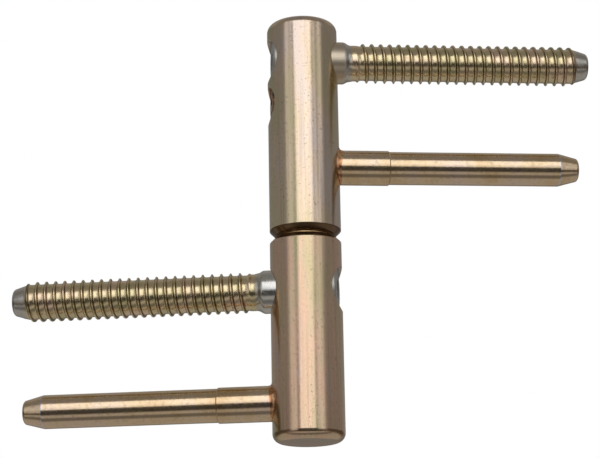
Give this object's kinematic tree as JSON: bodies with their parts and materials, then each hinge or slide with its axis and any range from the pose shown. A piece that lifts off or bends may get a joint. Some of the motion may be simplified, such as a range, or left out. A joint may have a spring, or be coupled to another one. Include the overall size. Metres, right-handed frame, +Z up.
{
  "type": "door hinge",
  "caption": "Drill-in lift-off door hinge: two coaxial barrels, each with a turnable wood-threaded stud and a plain locating pin.",
  "frame": {"origin": "on the hinge line, in the middle of the gap between the two barrels", "axes": "+Z up along the hinge line towards the door leaf's end; -X along the frame leaf's stud and pin; the door leaf's stud and pin lie 11.7 degrees from +X towards +Y at rest; +Y away from the side the hinge is seen from when its key holes are reached"},
  "size_m": [0.1648, 0.0312, 0.121],
  "materials": {
    "barrel_steel": "drawn steel, yellow-passivated zinc plating, satin",
    "pin_steel": "ground steel, yellow-passivated zinc plating, shiny",
    "stud_steel": "rolled thread, yellow-passivated zinc plating, silvery at the neck and point",
    "braze": "copper braze under thin plating",
    "bush_bronze": "sintered bronze, satin",
    "bright_steel": "bright ground steel"
  },
  "bodies": {
    "frame_leaf": {"lower_barrel": "barrel_steel", "hinge_pin": "bright_steel", "frame_locating_pin": "pin_steel", "frame_pin_braze": "braze"},
    "frame_stud": {"frame_stud": "stud_steel"},
    "thrust_ball": {"thrust_ball": "bright_steel"},
    "lifting_wedge": {"lifting_wedge": "bright_steel"},
    "door_leaf": {"upper_barrel": "barrel_steel", "bearing_bush": "bush_bronze", "stud_lock_plug": "bright_steel", "door_locating_pin": "pin_steel", "door_pin_braze": "braze"},
    "height_screw": {"height_screw": "stud_steel"},
    "door_stud": {"door_stud": "stud_steel"}
  },
  "joints": [
    {"name": "frame_stud_turn", "type": "hinge", "parent": "frame_leaf", "child": "frame_stud", "pos_m": [0, 0, -0.01515], "axis": [-1, 0, 0], "continuous": true},
    {"name": "lift_off", "type": "slide", "parent": "frame_leaf", "child": "thrust_ball", "axis": [0, 0, 1], "range_m": [0, 0.03]},
    {"name": "door_swing", "type": "hinge", "parent": "thrust_ball", "child": "lifting_wedge", "pos_m": [0, 0, 0], "axis": [0, 0, 1], "continuous": true},
    {"name": "height_adjust", "type": "slide", "parent": "lifting_wedge", "child": "door_leaf", "axis": [0, 0, 1], "range_m": [0, 0.002]},
    {"name": "height_screw_feed", "type": "slide", "parent": "door_leaf", "child": "height_screw", "axis": [0.9792, 0.2028, 0], "range_m": [0, 0.00116]},
    {"name": "door_stud_turn", "type": "hinge", "parent": "door_leaf", "child": "door_stud", "pos_m": [0, 0, 0.052], "axis": [0.9792, 0.2028, 0], "continuous": true}
  ],
  "couplings": [
    {"joint": "height_screw_feed", "follows": "height_adjust", "ratio": 0.57735}
  ]
}
